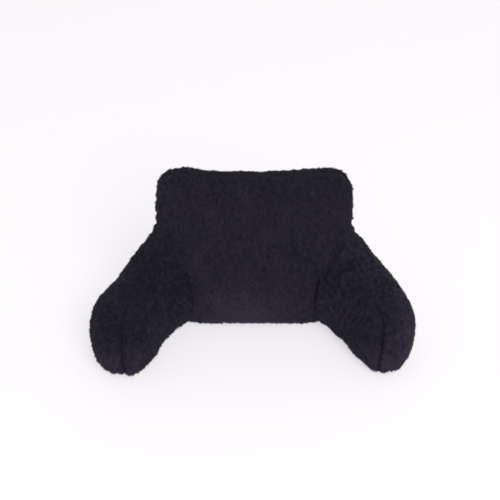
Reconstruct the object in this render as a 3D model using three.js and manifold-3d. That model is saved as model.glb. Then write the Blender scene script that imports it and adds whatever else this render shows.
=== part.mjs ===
// A backrest pillow: one filled back cushion that stands on the floor, with a filled arm sewn to each of
// its lower sides. Millimetres, +Z up. The origin is on the floor under the middle of the pillow, and the
// sitter's side faces -Y.
import * as THREE from "three";
import { mergeVertices } from "three/addons/utils/BufferGeometryUtils.js";
import Module from "manifold-3d";

// Driving dimensions
const HEIGHT = 620; // to the top of the raised corners, before the top edge sags
const SEWN_GAP = 0.4; // between an arm and the back, where the two are pressed together
const SEWN_IN = 8; // how far an arm would swell into the back, before the back's side cuts it to fit
const FLOOR_PRESS = 5; // how far an arm would reach below the floor, before the floor presses it flat

// The back cushion's profile, a row for each height: its front and rear face, and its half width at each
// of them. Low down it is narrow in front and wide behind, so that the arms sit on slanting sides.
const BACK_ROWS = [
  { height: 0, front: 31, rear: 191, frontHalf: 232, rearHalf: 322 },
  { height: 62, front: 7, rear: 195, frontHalf: 214, rearHalf: 326 },
  { height: 135, front: 0, rear: 194, frontHalf: 203, rearHalf: 326 },
  { height: 218, front: 8, rear: 188, frontHalf: 211, rearHalf: 320 },
  { height: 300, front: 21, rear: 178, frontHalf: 252, rearHalf: 311 },
  { height: 373, front: 35, rear: 168, frontHalf: 294, rearHalf: 306 },
  { height: 498, front: 47, rear: 160, frontHalf: 295, rearHalf: 295 },
  { height: HEIGHT, front: 54, rear: 148, frontHalf: 294, rearHalf: 294 },
];
const BACK = {
  shift: 7, // the back stands a little to the right between its arms
  waist: 270, // the height from which the outline is drawn up and down
  corner: 7, // squareness of the outline's upper corners
  foot: 16, // squareness of its lower corners, which the arms hold down
  sink: 25, // how far the back would reach below the floor, before the floor presses it flat
  sag: 28, // how far the top edge hangs between its two corners
  press: 16, // how much of each lower side an arm presses flat
  pressTo: 400, // up to which height it does
  freeFrom: 430, // and from which height the side is free of it
  seam: 0.028, // depth of the seam round the cushion's edge above its base, as a share of the outline's size
  seamWidth: 0.008, // how far its groove runs out, as a share of that size too
};
// How sharply the filling turns over to the seam at the top, at the sides and under the base.
const CROWN = { top: 6.5, side: 7, base: 8, edge: 2, baseEdge: 3 };

// An arm's path and sections, a row for each place along it, from the join to the nose: the middle on the
// floor, the way it heads in degrees out from straight ahead, its half width and its height.
const ARM_ROWS = [
  { along: 0.0, out: 262, back: 101, heading: 57, half: 106, height: 403 },
  { along: 0.15, out: 296, back: 73, heading: 54, half: 107, height: 344 },
  { along: 0.32, out: 336, back: 37, heading: 46, half: 106, height: 299 },
  { along: 0.5, out: 370, back: -12, heading: 38, half: 106, height: 262 },
  { along: 0.66, out: 393, back: -58, heading: 31, half: 105, height: 245 },
  { along: 0.82, out: 413, back: -108, heading: 24, half: 103, height: 237 },
  { along: 1.0, out: 417, back: -195, heading: 12, half: 95, height: 230 },
];
const ARM = {
  join: 0.42, // the share of the path over which the join's outline turns into the arm's own section
  joinEdge: 0.05, // the share over which the arm swells out of the seam at its join
  joinRound: 2.2, // how round that swelling is
  joinShare: 0.9, // the share of the join's outline that lies flat on the back
  noseFrom: 0.66, // where the nose starts to round
  poleShare: 0.42, // the height of the widest line, as a share of the arm's height
  upper: 2.3, // roundness of the section above that line
  lower: 4.5, // squareness of the section below it, where the filling is pressed to the floor
  seamAt: 98, // where the seam along the arm's top lies, in degrees round the section from its outer side
  seam: 4, // depth of that seam
  seamWidth: 7, // how far from that seam its groove runs out, in degrees
  seamEnd: 8, // how late on the nose the groove runs out
};
// Squareness of the nose seen from above, over its top and under it.
const NOSE = { side: 2.1, top: 2.3, low: 3.6 };
// The outline that is sewn to the back's side: how far inside its edges, how high, and how square above.
const JOIN = { inset: 10, height: 408, upper: 3 };
// The two arms aren't quite alike: how far each reaches, how wide it is, how much slimmer on its outer
// side near the join, how far it lies outwards, how far the tip of its nose is drawn in, and how blunt
// that nose is.
const SIDES = [
  { name: "arm_left", side: -1, reach: 1.0, wide: 1.05, slim: 24, out: -6, drawn: -8, blunt: 1.15 },
  { name: "arm_right", side: 1, reach: 0.97, wide: 0.98, slim: 4, out: 10, drawn: 3, blunt: 1.0 },
];

// How many rings and points each mesh has, and how much closer an arm's points lie at its seam.
const MESH = {
  backRings: 32,
  backPoints: 72,
  joinRings: 3,
  edgeRings: 4,
  armRings: 14,
  noseRings: 12,
  armPoints: 40,
};
const SEAM_PULL = 0.45;

const FLEECE = { color: 0x232029, roughness: 0.95, metalness: 0 };

const mix = THREE.MathUtils.lerp;
const clamp = THREE.MathUtils.clamp;
const ease = (t) => THREE.MathUtils.smoothstep(t, 0, 1);
const steps = (count, from, to) => Array.from({ length: count + 1 }, (_, i) => mix(from, to, i / count));

// A smooth curve through one column of a table, over its key column, which never overshoots a row.
function column(rows, key, name) {
  const at = rows.map((row) => row[key]);
  const value = rows.map((row) => row[name]);
  const slope = at.slice(1).map((x, i) => (value[i + 1] - value[i]) / (x - at[i]));
  const tangent = at.map((_, i) => {
    if (i === 0) return slope[0];
    if (i === slope.length) return slope[i - 1];
    const product = slope[i - 1] * slope[i];
    return product <= 0 ? 0 : (2 * product) / (slope[i - 1] + slope[i]);
  });
  return (x) => {
    const inside = clamp(x, at[0], at[at.length - 1]);
    const i = at.findLastIndex((start, k) => start <= inside && k < slope.length);
    const span = at[i + 1] - at[i];
    const t = (inside - at[i]) / span;
    const bend = (1 - t) * (tangent[i] - slope[i]) - t * (tangent[i + 1] - slope[i]);
    return mix(value[i], value[i + 1], t) + span * t * (1 - t) * bend;
  };
}

function columns(rows, key) {
  const names = Object.keys(rows[0]).filter((name) => name !== key);
  return Object.fromEntries(names.map((name) => [name, column(rows, key, name)]));
}

// The distance from the middle to a superellipse's edge at an angle, in units of its half axes.
function squareEdge(angle, squareness) {
  const across = Math.abs(Math.cos(angle)) ** squareness;
  const upward = Math.abs(Math.sin(angle)) ** squareness;
  return (across + upward) ** (-1 / squareness);
}

// A share that falls from 1 to 0 as t goes from 0 to 1, along a superellipse's quarter.
const roundOff = (t, squareness) => (1 - clamp(t, 0, 1) ** squareness) ** (1 / squareness);

// A groove's share of its depth, at a distance from its line in units of its width.
const groove = (distance) => Math.exp(-(distance ** 2) * 2);

const back = columns(BACK_ROWS, "height");
const arm = columns(ARM_ROWS, "along");

// The back cushion's half width at a height and a depth.
function backHalf(y, z) {
  const front = back.front(z);
  const share = clamp((y - front) / (back.rear(z) - front), 0, 1);
  return mix(back.frontHalf(z), back.rearHalf(z), share);
}

// The surface between the back and an arm, as a distance out from the back's middle. Above the arms it
// leaves the back's sides free.
function joinOut(y, z) {
  const freed = clamp((z - BACK.pressTo) / (BACK.freeFrom - BACK.pressTo), 0, 1);
  return backHalf(y, z) - BACK.press * (1 - freed);
}

// A point of the back cushion. depth goes from -1 in the middle of the front face, over 0 on the seam, to
// 1 in the middle of the rear face; around is the angle round the outline, from the right-hand side up
// over the top.
function backPoint(depth, around) {
  const upper = Math.sin(around) > 0;
  const toTop = ease(Math.sin(around));
  const toBase = ease(-Math.sin(around));
  const seam = BACK.seam * groove(Math.abs(depth) / BACK.seamWidth) * (1 - toBase);
  const reach = (1 - Math.abs(depth) - seam) * squareEdge(around, upper ? BACK.corner : BACK.foot);
  const across = Math.cos(around) * reach;
  const upward = Math.sin(around) * reach;
  const span = upper ? HEIGHT - BACK.waist : BACK.waist + BACK.sink;
  const straight = BACK.waist + upward * span;
  const high = Math.max(0, (2 * straight) / HEIGHT - 1);
  const z = Math.max(0, straight - BACK.sag * high ** 2 * (1 - across ** 2));
  const power = mix(CROWN.side, CROWN.top, toTop) + (CROWN.base - CROWN.side) * toBase;
  const edge = CROWN.edge + (CROWN.baseEdge - CROWN.edge) * toBase;
  const crown = (1 - (1 - Math.abs(depth)) ** power) ** (1 / edge);
  const middle = (back.front(z) + back.rear(z)) / 2;
  const y = middle + (Math.sign(depth) * crown * (back.rear(z) - back.front(z))) / 2;
  const out = Math.min(Math.abs(across) * backHalf(y, z), joinOut(y, z));
  return new THREE.Vector3(Math.sign(across) * out + BACK.shift, y, z);
}

// A point of the outline that is sewn to the back's side, shrunk to a share of itself, at an angle round
// the section.
function joinPoint(around, share, side) {
  const across = Math.cos(around);
  const upward = Math.sin(around);
  const reach = share * squareEdge(around, upward > 0 ? JOIN.upper : ARM.lower);
  const pole = JOIN.height * ARM.poleShare;
  const span = upward > 0 ? JOIN.height - pole : pole + FLOOR_PRESS;
  const z = Math.max(0, pole + upward * reach * span);
  const half = (back.rear(z) - back.front(z)) / 2 - JOIN.inset;
  const y = (back.front(z) + back.rear(z)) / 2 + across * reach * half;
  return new THREE.Vector3(joinOut(y, z) + side * BACK.shift - SEWN_IN, y, z);
}

// A point of an arm's own section, at an angle round it from its outer side up over the top.
function sectionPoint(along, around, shape) {
  const upward = Math.sin(around);
  const toNose = clamp((along - ARM.noseFrom) / (1 - ARM.noseFrom), 0, 1);
  const slim = (shape.slim * Math.sin(Math.PI * clamp(along / ARM.noseFrom, 0, 1))) / 2;
  const height = arm.height(along);
  const pole = height * ARM.poleShare;
  const fromSeam = (THREE.MathUtils.radToDeg(around) - ARM.seamAt) / ARM.seamWidth;
  const seam = ARM.seam * groove(fromSeam) * (1 - toNose ** ARM.seamEnd);
  const reach = squareEdge(around, upward > 0 ? ARM.upper : ARM.lower);
  const half = (arm.half(along) * shape.wide - slim) * roundOff(toNose, NOSE.side * shape.blunt);
  const middle = arm.out(along) + shape.out * ease(along) - slim - shape.drawn * toNose ** 2;
  const rise = (height - pole) * roundOff(toNose, NOSE.top * shape.blunt);
  const drop = (pole + FLOOR_PRESS) * roundOff(toNose, NOSE.low * shape.blunt);
  const sideways = Math.cos(around) * reach * half;
  const heading = THREE.MathUtils.degToRad(arm.heading(along));
  const start = arm.back(0);
  return new THREE.Vector3(
    middle + sideways * Math.cos(heading),
    start + (arm.back(along) - start) * shape.reach + sideways * Math.sin(heading) + seam * toNose,
    Math.max(0, pole + upward * reach * (upward > 0 ? rise : drop) - seam),
  );
}

// A point of an arm. along goes from -1 in the middle of its flat join, over 0 on the join's edge, to 1 at
// the nose.
function armPoint(along, around, shape) {
  const { side } = shape;
  const swell = along < 0 ? 0 : roundOff(1 - along / ARM.joinEdge, ARM.joinRound);
  const share = along < 0 ? ARM.joinShare * (1 + along) : mix(ARM.joinShare, 1, swell);
  const point = joinPoint(around, share, side);
  if (along > 0) point.lerp(sectionPoint(along, around, shape), ease(along / ARM.join));
  return point.setX(side * point.x);
}

// A closed mesh from a function of two parameters: the first runs from one pole to the other, the second
// goes round. turned says that it goes round the other way, as seen from the first pole.
function skin(places, angles, pointAt, turned) {
  const rings = places.map((place) => angles.map((angle) => pointAt(place, angle)));
  const corners = [];
  const face = (a, b, c) => corners.push(...(turned ? [a, c, b] : [a, b, c]));
  const last = rings.length - 1;
  for (let i = 0; i < last; i += 1) {
    for (let k = 0; k < angles.length; k += 1) {
      const next = (k + 1) % angles.length;
      if (i > 0) face(rings[i][k], rings[i][next], rings[i + 1][next]);
      if (i + 1 < last) face(rings[i][k], rings[i + 1][next], rings[i + 1][k]);
    }
  }
  return mergeVertices(new THREE.BufferGeometry().setFromPoints(corners), 1e-3);
}

// A copy of a closed mesh, grown by a distance along its normals.
function grown(geometry, distance) {
  const copy = geometry.clone();
  copy.computeVertexNormals();
  const position = copy.getAttribute("position");
  const normal = copy.getAttribute("normal");
  for (let i = 0; i < position.count; i += 1) {
    const point = new THREE.Vector3().fromBufferAttribute(position, i);
    point.addScaledVector(new THREE.Vector3().fromBufferAttribute(normal, i), distance);
    position.setXYZ(i, point.x, point.y, point.z);
  }
  return copy.deleteAttribute("normal");
}

const wasm = await Module();
wasm.setup();

function solidOf(geometry) {
  const vertProperties = new Float32Array(geometry.getAttribute("position").array);
  const triVerts = new Uint32Array(geometry.getIndex().array);
  return new wasm.Manifold(new wasm.Mesh({ numProp: 3, vertProperties, triVerts }));
}

function geometryOf(solid) {
  const mesh = solid.getMesh();
  const geometry = new THREE.BufferGeometry();
  geometry.setAttribute("position", new THREE.BufferAttribute(mesh.vertProperties, 3));
  return geometry.setIndex(new THREE.BufferAttribute(mesh.triVerts, 1));
}

const pillow = new THREE.Group();

function addPiece(name, geometry) {
  geometry.computeVertexNormals();
  const mesh = new THREE.Mesh(geometry, new THREE.MeshStandardMaterial(FLEECE));
  mesh.name = name;
  pillow.add(mesh);
}

// The rings of the back cushion lie closer together towards the seam round its edge.
const backDepths = steps(MESH.backRings, -1, 1).map((t) => Math.sign(t) * Math.abs(t) ** 1.5);
const backAngles = steps(MESH.backPoints, 0, 2 * Math.PI).slice(1);
const backCushion = skin(backDepths, backAngles, backPoint, true);
const room = solidOf(grown(backCushion, SEWN_GAP));
addPiece("backrest", backCushion);

// The sections of an arm lie closer together towards the end of its nose, and their points towards the
// seam on top.
const noseShares = steps(MESH.noseRings, 0, Math.PI / 2).map(Math.sin);
const armPlaces = [
  ...steps(MESH.joinRings, -1, 0),
  ...steps(MESH.edgeRings, 0, ARM.joinEdge).slice(1),
  ...steps(MESH.armRings, ARM.joinEdge, ARM.noseFrom).slice(1),
  ...noseShares.slice(1).map((share) => mix(ARM.noseFrom, 1, share)),
];
const seamAt = THREE.MathUtils.degToRad(ARM.seamAt);
const turns = steps(MESH.armPoints, -Math.PI, Math.PI).slice(1);
const armAngles = turns.map((turn) => seamAt + turn - SEAM_PULL * Math.sin(turn));
for (const shape of SIDES) {
  const pointAt = (along, around) => armPoint(along, around, shape);
  const swollen = solidOf(skin(armPlaces, armAngles, pointAt, shape.side < 0));
  addPiece(shape.name, geometryOf(swollen.subtract(room)));
}

export default pillow;
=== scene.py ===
# A backrest pillow of near-black plush fleece: a filled back that stands on the floor, with a filled arm
# sewn to each of its lower sides. Metres, +Z up, and the sitter's side faces -Y.
import math

import bmesh
import bpy
import numpy as np
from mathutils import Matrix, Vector


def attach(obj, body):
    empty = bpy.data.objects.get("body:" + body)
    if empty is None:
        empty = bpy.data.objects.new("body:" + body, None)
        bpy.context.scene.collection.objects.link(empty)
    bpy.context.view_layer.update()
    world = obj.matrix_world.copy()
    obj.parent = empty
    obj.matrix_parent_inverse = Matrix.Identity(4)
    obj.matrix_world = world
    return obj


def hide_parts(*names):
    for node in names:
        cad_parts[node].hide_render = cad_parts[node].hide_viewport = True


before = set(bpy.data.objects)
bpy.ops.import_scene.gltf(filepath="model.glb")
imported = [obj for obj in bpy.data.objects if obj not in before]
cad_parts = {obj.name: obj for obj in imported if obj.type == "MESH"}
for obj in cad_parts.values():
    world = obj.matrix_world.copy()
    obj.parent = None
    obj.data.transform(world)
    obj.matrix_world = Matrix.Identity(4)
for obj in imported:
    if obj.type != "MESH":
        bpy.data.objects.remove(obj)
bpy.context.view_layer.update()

# The back cushion: a front and a rear panel of fleece, sewn together along the crest and down both sides,
# and stuffed with loose fibre until it stands by itself. Its weight presses the base flat, and the arms
# press its lower sides flat.
BACK_SHIFT = 0.007  # how far right of the middle the back stands
BACK_HEIGHT = np.array([0, 0.062, 0.135, 0.218, 0.300, 0.373, 0.498, 0.620])
BACK_FRONT = np.array([0.031, 0.007, 0, 0.008, 0.021, 0.035, 0.047, 0.054])
BACK_REAR = np.array([0.191, 0.195, 0.194, 0.188, 0.178, 0.168, 0.160, 0.148])
BACK_FRONT_HALF = np.array([0.232, 0.214, 0.203, 0.211, 0.252, 0.294, 0.295, 0.294])
BACK_REAR_HALF = np.array([0.322, 0.326, 0.326, 0.320, 0.311, 0.306, 0.295, 0.294])
BACK_PRESS = 0.016  # how much of each lower side an arm presses flat
BACK_PRESS_TO, BACK_FREE_FROM = 0.400, 0.430  # up to which height, and from where the side is free
PILE_ROOM = 0.007  # how far the ground cloth lies inside the solid, for the pile that stands on it


def smooth_column(at, value):
    """A curve through a table's column that never overshoots a row. A row's slope is the harmonic mean of the
    slopes beside it, or nought at a turn, and a cubic joins two rows."""
    slope = np.diff(value) / np.diff(at)
    product = slope[:-1] * slope[1:]
    total = np.where(product > 0, slope[:-1] + slope[1:], 1)
    tangent = np.concatenate([slope[:1], np.where(product > 0, 2 * product / total, 0), slope[-1:]])

    def curve(x):
        i = np.clip(np.searchsorted(at, x, side="right") - 1, 0, len(slope) - 1)
        span = at[i + 1] - at[i]
        t = np.clip((x - at[i]) / span, 0, 1)
        bend = (1 - t) * (tangent[i] - slope[i]) - t * (tangent[i + 1] - slope[i])
        return value[i] + (value[i + 1] - value[i]) * t + span * t * (1 - t) * bend

    return curve


back_front = smooth_column(BACK_HEIGHT, BACK_FRONT)
back_rear = smooth_column(BACK_HEIGHT, BACK_REAR)
back_front_half = smooth_column(BACK_HEIGHT, BACK_FRONT_HALF)
back_rear_half = smooth_column(BACK_HEIGHT, BACK_REAR_HALF)


def ease(t):
    """From 0 to 1 as t does, level at both ends: 3t² - 2t³."""
    t = np.clip(t, 0, 1)
    return t * t * (3 - 2 * t)


def join_out(places):
    """How far out from the back's middle the surface between it and an arm lies: the back's half width at a
    place's height and depth, less what the arm presses flat."""
    y, z = places[:, 1], places[:, 2]
    share = np.clip((y - back_front(z)) / (back_rear(z) - back_front(z)), 0, 1)
    half = back_front_half(z) + (back_rear_half(z) - back_front_half(z)) * share
    free = np.clip((z - BACK_PRESS_TO) / (BACK_FREE_FROM - BACK_PRESS_TO), 0, 1)
    return half - BACK_PRESS * (1 - free)


def from_join(places):
    """How far each place lies, measured across, from the surface between the back and an arm."""
    return np.abs(join_out(places) - np.abs(places[:, 0] - BACK_SHIFT))


def crest_at(height):
    """How far back the crest seam runs at a height: midway between the front and the rear."""
    return (back_front(height) + back_rear(height)) / 2


def ripples(places, size, seed):
    """Soft random hills and hollows, about a size across and mostly between -1 and 1: the sum of 24 cosine
    waves of random headings, divided by about their root."""
    count = 24
    rng = np.random.default_rng(seed)
    heading = rng.normal(size=(3, count))
    waves = heading / np.linalg.norm(heading, axis=0) * 2 * np.pi / size * rng.uniform(0.7, 1.4, count)
    return np.cos(places @ waves + rng.uniform(0, 2 * np.pi, count)).sum(1) / 5


def from_line(places, line):
    """How far each place lies from the nearest point of a line of straight stretches."""
    step = np.diff(line, axis=0)
    length = np.linalg.norm(step, axis=1)
    share = np.clip(((places[:, None] - line[:-1]) * step).sum(2) / length**2, 0, 1)
    return np.linalg.norm(places[:, None] - (line[:-1] + share[..., None] * step), axis=2).min(1)


def read(mesh, what):
    """The places or the normals of a mesh's corners, as rows of three."""
    values = np.empty(len(mesh.vertices) * 3, np.float32)
    mesh.vertices.foreach_get(what, values)
    return values.reshape(-1, 3).astype(float)


def write(mesh, places):
    """Moves a mesh's corners to these places."""
    mesh.vertices.foreach_set("co", places.astype(np.float32).ravel())
    mesh.update()


def settle(piece):
    """Applies a piece's modifiers to its mesh."""
    seen = bpy.context.evaluated_depsgraph_get()
    mesh = bpy.data.meshes.new_from_object(piece.evaluated_get(seen), depsgraph=seen)
    piece.modifiers.clear()
    piece.data = mesh


def cover(node, name, grain):
    """A copy of a node's solid as one closed skin of even squares, a grain across."""
    piece = bpy.data.objects.new(name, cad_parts[node].data.copy())
    bpy.context.scene.collection.objects.link(piece)
    shape = bmesh.new()
    shape.from_mesh(piece.data)
    bmesh.ops.remove_doubles(shape, verts=shape.verts, dist=1e-5)
    shape.to_mesh(piece.data)
    shape.free()
    even = piece.modifiers.new("even", "REMESH")
    even.mode, even.voxel_size, even.use_smooth_shade = "VOXEL", grain, True
    settle(piece)
    piece.data.materials.clear()
    return piece


def stuff(piece, sewn, most):
    """Fills a cover: its cloth swells under pressure for 20 frames, but not where it is sewn or rests. The
    free cloth would swell much further, so each point's move is cut back to the most."""
    frames = 20
    before = read(piece.data, "co")
    pinned = piece.vertex_groups.new(name="sewn")
    pinned.add(np.flatnonzero(sewn).tolist(), 1, "REPLACE")
    cloth = piece.modifiers.new("filling", "CLOTH")
    cloth.settings.vertex_group_mass = "sewn"
    cloth.settings.use_pressure = True
    cloth.settings.uniform_pressure_force = 4
    cloth.settings.shrink_min = -0.03
    cloth.settings.effector_weights.gravity = 0
    cloth.point_cache.frame_start, cloth.point_cache.frame_end = 1, frames
    for frame_number in range(1, frames + 1):
        bpy.context.scene.frame_set(frame_number)
    settle(piece)
    bpy.context.scene.frame_set(1)
    piece.vertex_groups.clear()
    moved = read(piece.data, "co") - before
    far = np.linalg.norm(moved, axis=1, keepdims=True)
    print(piece.name, "swelled by up to", far.max().round(4), "mean", far.mean().round(4))
    write(piece.data, before + moved * np.minimum(1, most / np.maximum(far, 1e-9)))
    finer = piece.modifiers.new("finer", "SUBSURF")
    finer.levels = finer.render_levels = 1
    settle(piece)


def groove(gap, width):
    """A seam's share of its depth at a gap from its line: a bell, e to the minus (gap / width)²."""
    return np.exp(-((gap / width) ** 2))


def join_filled(places, gap):
    """From 0 to 1 over the upper part of a join, where the fleece runs from the back to the arm without a
    fold: a bell across the join, faded out below, above and behind."""
    _, y, z = places.T
    in_front = ease((crest_at(z) - y) / 0.05)
    return groove(gap, 0.026) * ease((z - 0.20) / 0.08) * ease((0.41 - z) / 0.07) * in_front


def off_floor(places):
    """From 0 on the floor to 1 a little above it."""
    return ease((places[:, 2] - 0.001) / 0.03)


# A soft fold in the front panel, above the right arm's root: its places across and up.
BACK_CREASE = np.array([(0.120, 0.345), (0.135, 0.335), (0.159, 0.317), (0.186, 0.298), (0.205, 0.270)])
BACK_CREASE_DEPTH = 0.009
BACK_FILL, ARM_FILL = 0.020, 0.010  # how far forwards the back and the arms stand at their joins
BACK_GRAIN, ARM_GRAIN = 0.009, 0.008  # squares of their covers
BACK_SWELL, ARM_SWELL = 0.005, 0.004  # the most that filling moves the cloth
CREST_DEPTH = 0.0035
JOIN_EASE = 0.03  # how far from a join the cloth is free


def in_crease(places, width):
    """From 0 to 1 on the line of the fold in the front panel: a bell of a width across it."""
    return groove(from_line(places[:, [0, 2]], BACK_CREASE), width) * (places[:, 1] < 0.06)


back = cover("backrest", "back_cushion", BACK_GRAIN)
places, normals = read(back.data, "co"), read(back.data, "normal")
outward = places[:, 0] - BACK_SHIFT
low = places[:, 2] < BACK_PRESS_TO
to_join = np.where(low, from_join(places), 1)
free = ease(to_join / JOIN_EASE) * off_floor(places)
on_crest = (np.abs(places[:, 1] - crest_at(places[:, 2])) < 0.004) & (np.abs(normals[:, 1]) < 0.6)
facing_front = ease(np.abs(normals[:, 1]) / 0.8)
room = PILE_ROOM * (0.15 + 0.85 * facing_front) - 0.003 * np.clip(normals[:, 2], 0, 1)
room -= 0.004 * ease((outward - 0.27) / 0.02) * ease((places[:, 2] - 0.40) / 0.02)
drawn_in = normals * (room * ease(to_join / JOIN_EASE))[:, None]
drawn_in[:, 2] *= off_floor(places)
write(back.data, places - drawn_in)
stuff(back, (free < 0.2) | on_crest, BACK_SWELL)

places, normals = read(back.data, "co"), read(back.data, "normal")
high = ease((places[:, 2] - 0.03) / 0.05)
crest_gap = np.abs(places[:, 1] - crest_at(places[:, 2]))
sunk = CREST_DEPTH * groove(crest_gap, 0.004)
pucker = 0.0008 * groove(crest_gap, 0.035) * ripples(places, 0.032, 1)
filling = 0.0015 * ripples(places, 0.16, 2) + 0.0008 * ripples(places, 0.06, 3)
lie = 0.0007 * ripples(places * [1, 1, 0.6], 0.02, 4)
low = places[:, 2] < BACK_PRESS_TO
to_join = np.where(low, from_join(places), 1)
free = ease(to_join / JOIN_EASE) * high
crease = BACK_CREASE_DEPTH * in_crease(places, 0.010)
places += normals * ((pucker + filling + lie - sunk) * free - crease)[:, None]
places[:, 1] -= BACK_FILL * join_filled(places, to_join)
out = places[:, 0] - BACK_SHIFT
over = np.where(places[:, 2] < BACK_PRESS_TO, np.maximum(np.abs(out) - join_out(places), 0), 0)
places[:, 0] -= np.sign(out) * over
places[:, 2] = np.maximum(places[:, 2], 0)
write(back.data, places)


class Tone:
    """A number that varies over a surface. Sums and products of it add Math nodes to its finish."""

    def __init__(self, finish, socket):
        self.finish, self.socket = finish, socket

    def __add__(self, other):
        return self.finish.sum_of("ADD", self, other)

    def __mul__(self, other):
        return self.finish.sum_of("MULTIPLY", self, other)

    __radd__, __rmul__ = __add__, __mul__


class Finish:
    """The nodes of one material. node() adds any of them: its type, its settings, and a value or a link for
    each socket that is named, by its name or, as _0, by its place."""

    def __init__(self, name):
        self.material = bpy.data.materials.new(name)
        self.material.use_nodes = True
        self.tree = self.material.node_tree
        self.tree.nodes.clear()

    def node(self, kind, settings, **sockets):
        made = self.tree.nodes.new("ShaderNode" + kind)
        for name, value in settings.items():
            setattr(made, name, value)
        for name, value in sockets.items():
            key = int(name[1:]) if name[0] == "_" else name.replace("_", " ")
            if isinstance(value, Tone):
                value = value.socket
            if isinstance(value, bpy.types.NodeSocket):
                self.tree.links.new(value, made.inputs[key])
            else:
                made.inputs[key].default_value = value
        return made.outputs

    def sum_of(self, operation, a, b):
        return Tone(self, self.node("Math", {"operation": operation}, _0=a, _1=b)[0])

    def between(self, share, a, b):
        """The colour a share of the way from a to b."""
        blend = {"data_type": "RGBA", "clamp_factor": True}
        return self.node("Mix", blend, Factor=share, _6=a, _7=b)[2]

    def finished(self, **sockets):
        shader = self.node("BsdfPrincipled", {}, **sockets)
        self.node("OutputMaterial", {}, Surface=shader[0])
        return self.material


# The knitted ground of the fleece, which shows only between its tufts.
ground = Finish("fleece_ground")
spot = ground.node("TexCoord", {})["Object"]
cloud = Tone(ground, ground.node("TexNoise", {}, Vector=spot, Scale=9, Detail=3)[0])
fibre = Tone(ground, ground.node("TexNoise", {}, Vector=spot, Scale=420, Detail=2)[0])
deep, light = (0.009, 0.0078, 0.0115, 1), (0.017, 0.0147, 0.0215, 1)
fleece_ground = ground.finished(
    Base_Color=ground.between(cloud * 0.6 + fibre * 0.4, deep, light),
    Roughness=0.95,
    Specular_IOR_Level=0.1,
    Normal=ground.node("Bump", {}, Strength=0.5, Distance=0.002, Height=fibre)[0],
)

# The pile of the fleece: tufts of soft fibre brushed downwards, which swirl where hands have pushed them.
# Its tips catch more light than its roots.
hair = Finish("fleece_pile")
tone, height = hair.node("SeparateXYZ", {}, Vector=hair.node("UVMap", {"uv_map": "OFBake"})[0])[:2]
tone, height = Tone(hair, tone), Tone(hair, height)
deep, light = (0.0066, 0.0054, 0.0088, 1), (0.043, 0.0356, 0.0625, 1)
fleece_pile = hair.finished(
    Base_Color=hair.between((0.35 + height * 0.65) * tone, deep, light),
    Roughness=0.9,
    Specular_IOR_Level=0.15,
    Sheen_Weight=0.15,
    Sheen_Roughness=0.5,
    Sheen_Tint=(0.75, 0.7, 0.9, 1),
)
TUFTS = 9200  # in each of the four piles
BLADES = 20  # in a tuft
PILE_LENGTH = 0.015  # of a blade along itself; leaning over, it makes a pile about 7 mm deep
FRONT_TO = 0.1  # how far back the front pile reaches
TUFT = 0.0055  # radius of a tuft's root
SINK = 0.0015  # how deep its roots lie in the ground


def unit(vectors):
    """The same directions, one long."""
    return vectors / np.maximum(np.linalg.norm(vectors, axis=-1, keepdims=True), 1e-9)


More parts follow.
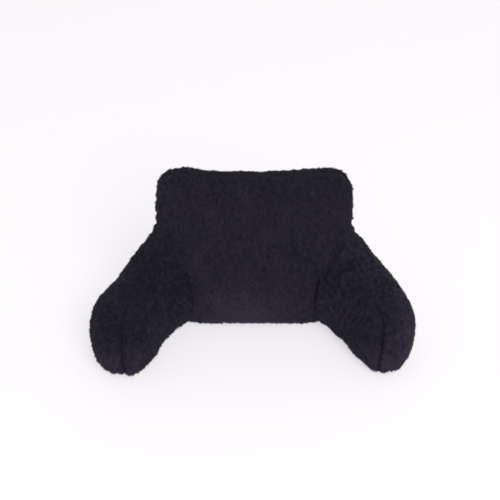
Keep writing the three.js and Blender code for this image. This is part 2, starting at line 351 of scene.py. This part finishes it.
def grow(name, cushion, tufts, seed, where, comb, tone_at, length_at):
    """The pile on a part of a cushion, as one joined mesh. Tufts stand evenly over the chosen triangles: each
    triangle is drawn in proportion to its area, and a place in it by two draws folded at the diagonal. A tuft
    is many slim blades whose roots fill a disc and whose tips are drawn together. A blade leans over along the
    comb and ends in a point."""
    rng = np.random.default_rng(seed)
    mesh = cushion.data
    mesh.calc_loop_triangles()
    corners = np.empty(len(mesh.loop_triangles) * 3, np.int32)
    mesh.loop_triangles.foreach_get("vertices", corners)
    corners = corners.reshape(-1, 3)
    at, facing = read(mesh, "co"), read(mesh, "normal")
    edges = at[corners[:, 1:]] - at[corners[:, :1]]
    area = np.linalg.norm(np.cross(edges[:, 0], edges[:, 1]), axis=1)
    middle, faces_to = at[corners].mean(1), facing[corners].mean(1)
    area = area * where(middle, faces_to) * (1 + 0.5 * np.clip(faces_to[:, 2], 0, 1))
    drawn = (np.arange(tufts) + rng.random(tufts)) / tufts * area.sum()
    chosen = corners[np.minimum(np.searchsorted(np.cumsum(area), drawn), len(area) - 1)]
    a, b = rng.random((2, tufts))
    a, b = np.where(a + b > 1, 1 - a, a), np.where(a + b > 1, 1 - b, b)
    weights = np.stack([1 - a - b, a, b], 1)[..., None]
    place, normal = (at[chosen] * weights).sum(1), unit((facing[chosen] * weights).sum(1))

    lay = comb(place)
    lay = unit(lay - (lay * normal).sum(1, keepdims=True) * normal)
    turn = (0.4 * ripples(place, 0.15, seed + 1) + 0.45 * ripples(place, 0.05, seed + 2))[:, None]
    lay = lay * np.cos(turn) + np.cross(normal, lay) * np.sin(turn)
    beside = np.cross(normal, lay)
    upward = np.clip(normal[:, 2], 0, 1)[:, None, None]
    normal, lay, beside = normal[:, None], lay[:, None], beside[:, None]

    many = (tufts, BLADES, 1)
    around = rng.uniform(0, 2 * np.pi, many)
    spread = TUFT * np.sqrt(rng.random(many)) * (np.cos(around) * lay + np.sin(around) * beside)
    lean = np.radians(rng.normal(64, 4, (tufts, 1, 1)) + rng.normal(0, 6, many) + 9 * upward)
    aside = rng.normal(0, 0.25, (tufts, 1, 1)) + rng.normal(0, 0.12, many)
    long = length_at(place)[:, None, None] * (1 - 0.2 * upward) * rng.uniform(0.75, 1.15, many)
    rise = unit(np.cos(lean) * normal + np.sin(lean) * (lay + aside * beside))
    root = place[:, None] + spread - SINK * normal
    tip = root + long * rise - 0.65 * spread
    twist = rng.normal(0, 0.3, many)
    flat = unit(np.cross(tip - root, normal))
    across = unit(flat + twist * np.cross(unit(tip - root), flat))
    wide = rng.uniform(0.0006, 0.0011, many) * across
    points = np.stack([root - wide, root + wide, tip], 2)
    points[..., 2] = np.maximum(points[..., 2], 0.0004)

    faces = np.arange(tufts * BLADES * 3).reshape(-1, 3)
    pile = bpy.data.meshes.new(name)
    pile.vertices.add(faces.size)
    pile.vertices.foreach_set("co", points.astype(np.float32).ravel())
    pile.loops.add(faces.size)
    pile.loops.foreach_set("vertex_index", faces.astype(np.int32).ravel())
    pile.polygons.add(len(faces))
    pile.polygons.foreach_set("loop_start", np.arange(0, faces.size, 3, dtype=np.int32))
    pile.update(calc_edges=True)
    pile.shade_smooth()
    of_tuft, of_blade = rng.normal(0, 0.13, (tufts, 1)), rng.normal(0, 0.05, (tufts, BLADES))
    shade = np.clip(tone_at(place)[:, None] + of_tuft + of_blade, 0.02, 0.98)
    edge = np.array([-0.004, 0.004, 0])
    up = np.array([0.02, 0.02, 0.98])
    drawn_on = np.stack(np.broadcast_arrays(shade[..., None] + edge, up), -1).reshape(-1, 2)
    places_on = pile.uv_layers.new(name="OFBake")
    places_on.data.foreach_set("uv", drawn_on[faces.ravel()].astype(np.float32).ravel())
    pile.materials.append(fleece_pile)
    piece = bpy.data.objects.new(name, pile)
    bpy.context.scene.collection.objects.link(piece)
    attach(piece, "root")
    return piece


def at_join(places, gap):
    """From 0 to 1 beside the upper part of a join, where tufts cross from the back to the arm."""
    return groove(gap, 0.012) * ease((places[:, 2] - 0.20) / 0.06) * ease((0.43 - places[:, 2]) / 0.03)


def low_crease(places, gap):
    """From 0 to 1 along the lower part of a join, where the arm's edge shades the back. Deeper on the right."""
    side = np.where(places[:, 0] > 0, 1, 0.45)
    return side * groove(gap, 0.009) * ease((0.27 - places[:, 2]) / 0.05) * (places[:, 1] < FRONT_TO)


def back_seen(places, normals):
    """How densely tufts stand: not at all where the back is pressed to an arm or the floor, and more densely
    beside the upper part of a join."""
    out = places[:, 0] - BACK_SHIFT
    gap = from_join(places)
    pressed = (gap < 0.004) & (places[:, 2] < 0.385) & (normals[:, 0] * np.sign(out) > 0.75)
    return (~pressed & (places[:, 2] > 0.004)) * (1 + 3 * at_join(places, gap))


def back_comb(places):
    """Down the front and the rear, outwards at the joins, and along the crest to the right."""
    out = places[:, 0] - BACK_SHIFT
    across = at_join(places, from_join(places)) * np.sign(out)
    lay = np.tile([0.3, -0.08, -1], (len(places), 1))
    lay[:, 0] += across
    return lay


def back_tone(places):
    """Painted light low in the middle of the front; painted shade in its fold, along the crest, beside the
    upper left join and along the lower joins; with soft clouds and strokes.
    """
    # low: painted light, lighter low in the middle of the front
    low = groove(places[:, 0] + 0.03, 0.145) * groove(places[:, 2] - 0.08, 0.12)
    strokes = 0.08 * ripples(places * [1, 1, 0.45], 0.012, 9)
    clouds = 0.04 * ripples(places, 0.12, 5) + 0.04 * ripples(places, 0.03, 6) + strokes
    past_crest = places[:, 1] - crest_at(places[:, 2])
    top = ease((places[:, 2] - 0.5) / 0.05)
    # crest: painted shade, a dark line in the crest seam and a darker band over the up-facing crest
    crest = (0.08 * groove(past_crest, 0.03) + 0.5 * groove(past_crest, 0.005)) * top
    # painted shade on the left flank beside the upper join
    left_flank_shade = groove(places[:, 0] + 0.27, 0.06) * groove(places[:, 2] - 0.34, 0.08)
    join = low_crease(places, from_join(places))
    crease = in_crease(places, 0.008)
    # Painted shade is taken off in the fold, along the crest, beside the upper left join and along the lower
    # joins.
    return 0.36 + 0.66 * low - 0.32 * crease - crest - 0.14 * left_flank_shade - 0.35 * join + clouds


def back_length(places):
    """Shorter in seams and folds, and longer where tufts cross the upper part of a join."""
    past_crest = places[:, 1] - crest_at(places[:, 2])
    crease = in_crease(places, 0.009)
    across = at_join(places, from_join(places))
    crest = 0.1 * groove(past_crest, 0.03) + 0.55 * groove(past_crest, 0.006)
    join = low_crease(places, from_join(places))
    return PILE_LENGTH * (1 - crest - 0.45 * crease - 0.4 * join + 0.4 * across)


def back_front_seen(places, normals):
    return back_seen(places, normals) * (places[:, 1] < FRONT_TO)


def back_rear_seen(places, normals):
    return back_seen(places, normals) * (places[:, 1] >= FRONT_TO)


back.data.materials.append(fleece_ground)
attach(back, "root")
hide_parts("backrest")
grow("back_front_pile", back, TUFTS, 100, back_front_seen, back_comb, back_tone, back_length)
grow("back_rear_pile", back, TUFTS, 200, back_rear_seen, back_comb, back_tone, back_length)

# The two arms: each has an inner and an outer panel of fleece that meet in a seam along its top and down
# the end of its nose. They are stuffed like the back and sewn to its lower sides.
ARM_SEAM = {
    "left": np.array(
        [(-0.262, 0.075), (-0.289, 0.029), (-0.308, 0.002), (-0.340, -0.042)]
        + [(-0.365, -0.083), (-0.378, -0.111), (-0.387, -0.145), (-0.389, -0.178), (-0.386, -0.240)]
    ),
    "right": np.array(
        [(0.275, 0.060), (0.298, 0.021), (0.310, 0.002), (0.332, -0.022), (0.357, -0.050)]
        + [(0.376, -0.087), (0.389, -0.115), (0.392, -0.140), (0.389, -0.165), (0.383, -0.230)]
    ),
}
# A soft fold across the top of each arm, seen from above.
ARM_FOLD = {
    "left": np.array([(-0.285, -0.050), (-0.296, -0.072), (-0.307, -0.088)]),
    "right": np.array([(0.211, 0.022), (0.237, 0.024), (0.265, 0.020), (0.295, 0.020)]),
}
# Room for the pile on an arm's inner and outer side, and how far forward the pile starts to part at its seam.
ARM_ROOM = {"left": (0.004, 0.0125), "right": (0.007, 0.0065)}
SEAM_FROM = {"left": -0.06, "right": -0.04}
FOLD_ABOVE, FOLD_DEPTH = 0.15, 0.005  # the folds lie above this height
SEAM_DEPTH, NOSE_DEPTH = 0.003, 0.005  # of the seam along an arm, and how much more on its nose
ARM_CLEAR = 0.0005  # between an arm's cover and the surface that it shares with the back
ARM_PRESSED = 0.001  # up to this far from that surface the cover is pressed flat


def past_join(places, sign):
    """How far each place of an arm lies outside the surface that the arm shares with the back."""
    return sign * (places[:, 0] - BACK_SHIFT) - join_out(places)


def on_nose(places, side):
    """From 0 on the arm to 1 on the end of its nose."""
    return ease((SEAM_FROM[side] - places[:, 1]) / 0.09)


def above_base(places):
    """From 0.35 at the floor, where the seam lies flat, to 1 above the bulge of the nose."""
    return 0.35 + 0.65 * ease((places[:, 2] - 0.01) / 0.06)


def arm_tone(places):
    """Painted light on the ends of the noses, on the right arm's outer side and low on the left arm's inner
    side;
    painted shade on the arms' upper parts, and the left arm painted darker all over; with soft clouds and
    strokes."""
    x, y, z = places.T
    # Painted light on the noses, the right arm's outer side and the left arm's low inner side; painted shade
    # higher up.
    nose = ease((-0.10 - y) / 0.08) * ease((0.19 - z) / 0.12)
    outer = ease((x - 0.40) / 0.05)
    right = 0.40 - 0.13 * ease((z - 0.18) / 0.06) + 0.54 * nose + 0.23 * outer * (1 - nose)
    inner = ease((x + 0.36) / 0.04) * ease((0.16 - z) / 0.06)
    # The left arm starts darker than the right: painted shade on the same fleece.
    left = 0.19 + 0.44 * nose - 0.06 * ease((z - 0.2) / 0.05) + 0.10 * inner * (1 - nose)
    clouds = 0.04 * ripples(places, 0.12, 7) + 0.05 * ripples(places, 0.03, 8)
    strokes = np.where(x > 0, 0.26, 0.19) * ripples(places * [1, 1, 0.45], 0.014, 10)
    return np.where(x > 0, right, left) + clouds + strokes


for side, sign in (("left", -1), ("right", 1)):
    seam = ARM_SEAM[side]
    arm = cover("arm_" + side, "arm_cushion_" + side, ARM_GRAIN)
    places, normals = read(arm.data, "co"), read(arm.data, "normal")
    to_join = past_join(places, sign)
    free = ease((to_join - ARM_PRESSED) / JOIN_EASE) * off_floor(places)
    gap = from_line(places[:, :2], seam)
    inner, outer = ARM_ROOM[side]
    room = inner + (outer - inner) * ease(0.5 + 0.7 * sign * normals[:, 0])
    room = room * (1 - 0.25 * np.clip(normals[:, 2], 0, 1)) * (1 - 0.6 * ease((places[:, 2] - 0.14) / 0.11))
    drawn_in = normals * (ARM_CLEAR + room * ease((to_join - ARM_PRESSED) / JOIN_EASE))[:, None]
    drawn_in[:, 2] *= off_floor(places)
    write(arm.data, places - drawn_in)
    stuff(arm, (free < 0.2) | (gap < 0.004), ARM_SWELL)

    places, normals = read(arm.data, "co"), read(arm.data, "normal")
    gap = from_line(places[:, :2], seam)
    to_join = past_join(places, sign)
    free = ease((to_join - ARM_PRESSED) / JOIN_EASE) * ease((places[:, 2] - 0.004) / 0.04)
    sunk = (SEAM_DEPTH + NOSE_DEPTH * on_nose(places, side)) * groove(gap, 0.006) * above_base(places)
    pucker = 0.0012 * groove(gap, 0.03) * ripples(places, 0.03, 11)
    filling = 0.002 * ripples(places, 0.14, 12) + 0.001 * ripples(places, 0.05, 13)
    lie = 0.0009 * ripples(places, 0.02, 14)
    fold_gap = from_line(places[:, :2], ARM_FOLD[side])
    fold = FOLD_DEPTH * groove(fold_gap, 0.006) * (places[:, 2] > FOLD_ABOVE)
    places += normals * ((pucker + filling + lie - sunk) * free - fold)[:, None]
    places[:, 1] -= ARM_FILL * join_filled(places, to_join)
    short = join_out(places) + ARM_CLEAR - sign * (places[:, 0] - BACK_SHIFT)
    places[:, 0] += sign * np.maximum(short, 0)
    places[:, 2] = np.maximum(places[:, 2], 0)
    write(arm.data, places)
    arm.data.materials.append(fleece_ground)
    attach(arm, "root")
    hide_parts("arm_" + side)

    def seen(places, normals, sign=sign):
        """How densely tufts stand: not at all at the join and the floor, and more at the join's upper part."""
        gap = past_join(places, sign)
        return ((gap > ARM_PRESSED) & (places[:, 2] > 0.004)) * (1 + 3 * at_join(places, gap))

    def comb(places, sign=sign):
        """Down the arm's sides, outwards over its top, and inwards at its join."""
        lay = np.tile([0.4 * sign, -0.12, -1], (len(places), 1))
        across = at_join(places, past_join(places, sign))
        lay[:, 0] -= 1.6 * sign * across
        lay[:, 2] += 0.6 * across
        return lay

    def length(places, seam=seam, side=side, sign=sign):
        """Shorter in the seam, the fold and the lower join, and longer across the upper join."""
        close = groove(from_line(places[:, :2], seam), 0.009)
        folded = groove(from_line(places[:, :2], ARM_FOLD[side]), 0.008)
        across = at_join(places, past_join(places, sign))
        join = low_crease(places, past_join(places, sign))
        parted = (0.15 + 0.55 * on_nose(places, side)) * close * above_base(places)
        return PILE_LENGTH * (1 - parted - 0.3 * folded - 0.3 * join + 0.4 * across)

    def tone(places, seam=seam, side=side, sign=sign):
        """The arm's tone, with painted shade in the seam, most on the nose, in the fold and along the lower
        join.
        """
        close = groove(from_line(places[:, :2], seam), 0.007)
        folded = groove(from_line(places[:, :2], ARM_FOLD[side]), 0.008) * (places[:, 2] > FOLD_ABOVE)
        join = low_crease(places, past_join(places, sign))
        # Painted shade in the seam, the fold and the lower join.
        return arm_tone(places) - (0.04 + 0.5 * on_nose(places, side)) * close - 0.12 * folded - 0.3 * join

    grow("arm_" + side + "_pile", arm, TUFTS, 300 + sign * 50, seen, comb, tone, length)

# The studio: a pale floor that glows a little, as a lit sheet of paper does, under soft light from above that
# is a little stronger from the right.
FAR = 40  # from the middle to the floor's edges
floor_mesh = bpy.data.meshes.new("floor")
floor_mesh.from_pydata([(-FAR, -FAR, 0), (FAR, -FAR, 0), (FAR, FAR, 0), (-FAR, FAR, 0)], [], [(0, 1, 2, 3)])
floor = bpy.data.objects.new("floor", floor_mesh)
bpy.context.scene.collection.objects.link(floor)
paper = Finish("floor_paper")
floor_paper = paper.finished(
    Base_Color=(0.40, 0.392, 0.40, 1),
    Roughness=0.9,
    Specular_IOR_Level=0.1,
    Emission_Color=(1, 0.973, 1, 1),
    Emission_Strength=0.585,
)
floor_mesh.materials.append(floor_paper)

world = bpy.data.worlds.new("studio")
world.use_nodes = True
world.node_tree.nodes["Background"].inputs["Color"].default_value = (1.0, 0.99, 1.0, 1)
world.node_tree.nodes["Background"].inputs["Strength"].default_value = 0.7
bpy.context.scene.world = world
lamp = bpy.data.lights.new("softbox", "AREA")
lamp.shape, lamp.size, lamp.energy = "DISK", 5.0, 340
softbox = bpy.data.objects.new("softbox", lamp)
softbox.location = (2.0, -4.6, 5.9)
softbox.rotation_euler = (Vector((0, 0.05, 0.1)) - softbox.location).to_track_quat("-Z", "Y").to_euler()
bpy.context.scene.collection.objects.link(softbox)
bpy.context.scene.view_settings.view_transform = "Standard"

# The camera stands 47 degrees above the pillow, straight in front and 3 m away, and looks a little over it
# and to its left, so that the pillow stands low in the picture.
ELEVATION, DISTANCE, PILLOW_MIDDLE = math.radians(47), 3.0, Vector((0, 0, 0.2))
LOOKS_OVER, LOOKS_LEFT = math.radians(2.44), math.radians(0.12)
camera_data = bpy.data.cameras.new("camera")
camera_data.sensor_width, camera_data.lens = 36, 70.2
camera = bpy.data.objects.new("camera", camera_data)
camera.location = PILLOW_MIDDLE + DISTANCE * Vector((0, -math.cos(ELEVATION), math.sin(ELEVATION)))
camera.rotation_euler = (math.pi / 2 - ELEVATION + LOOKS_OVER, 0, LOOKS_LEFT)
bpy.context.scene.collection.objects.link(camera)
bpy.context.scene.camera = camera
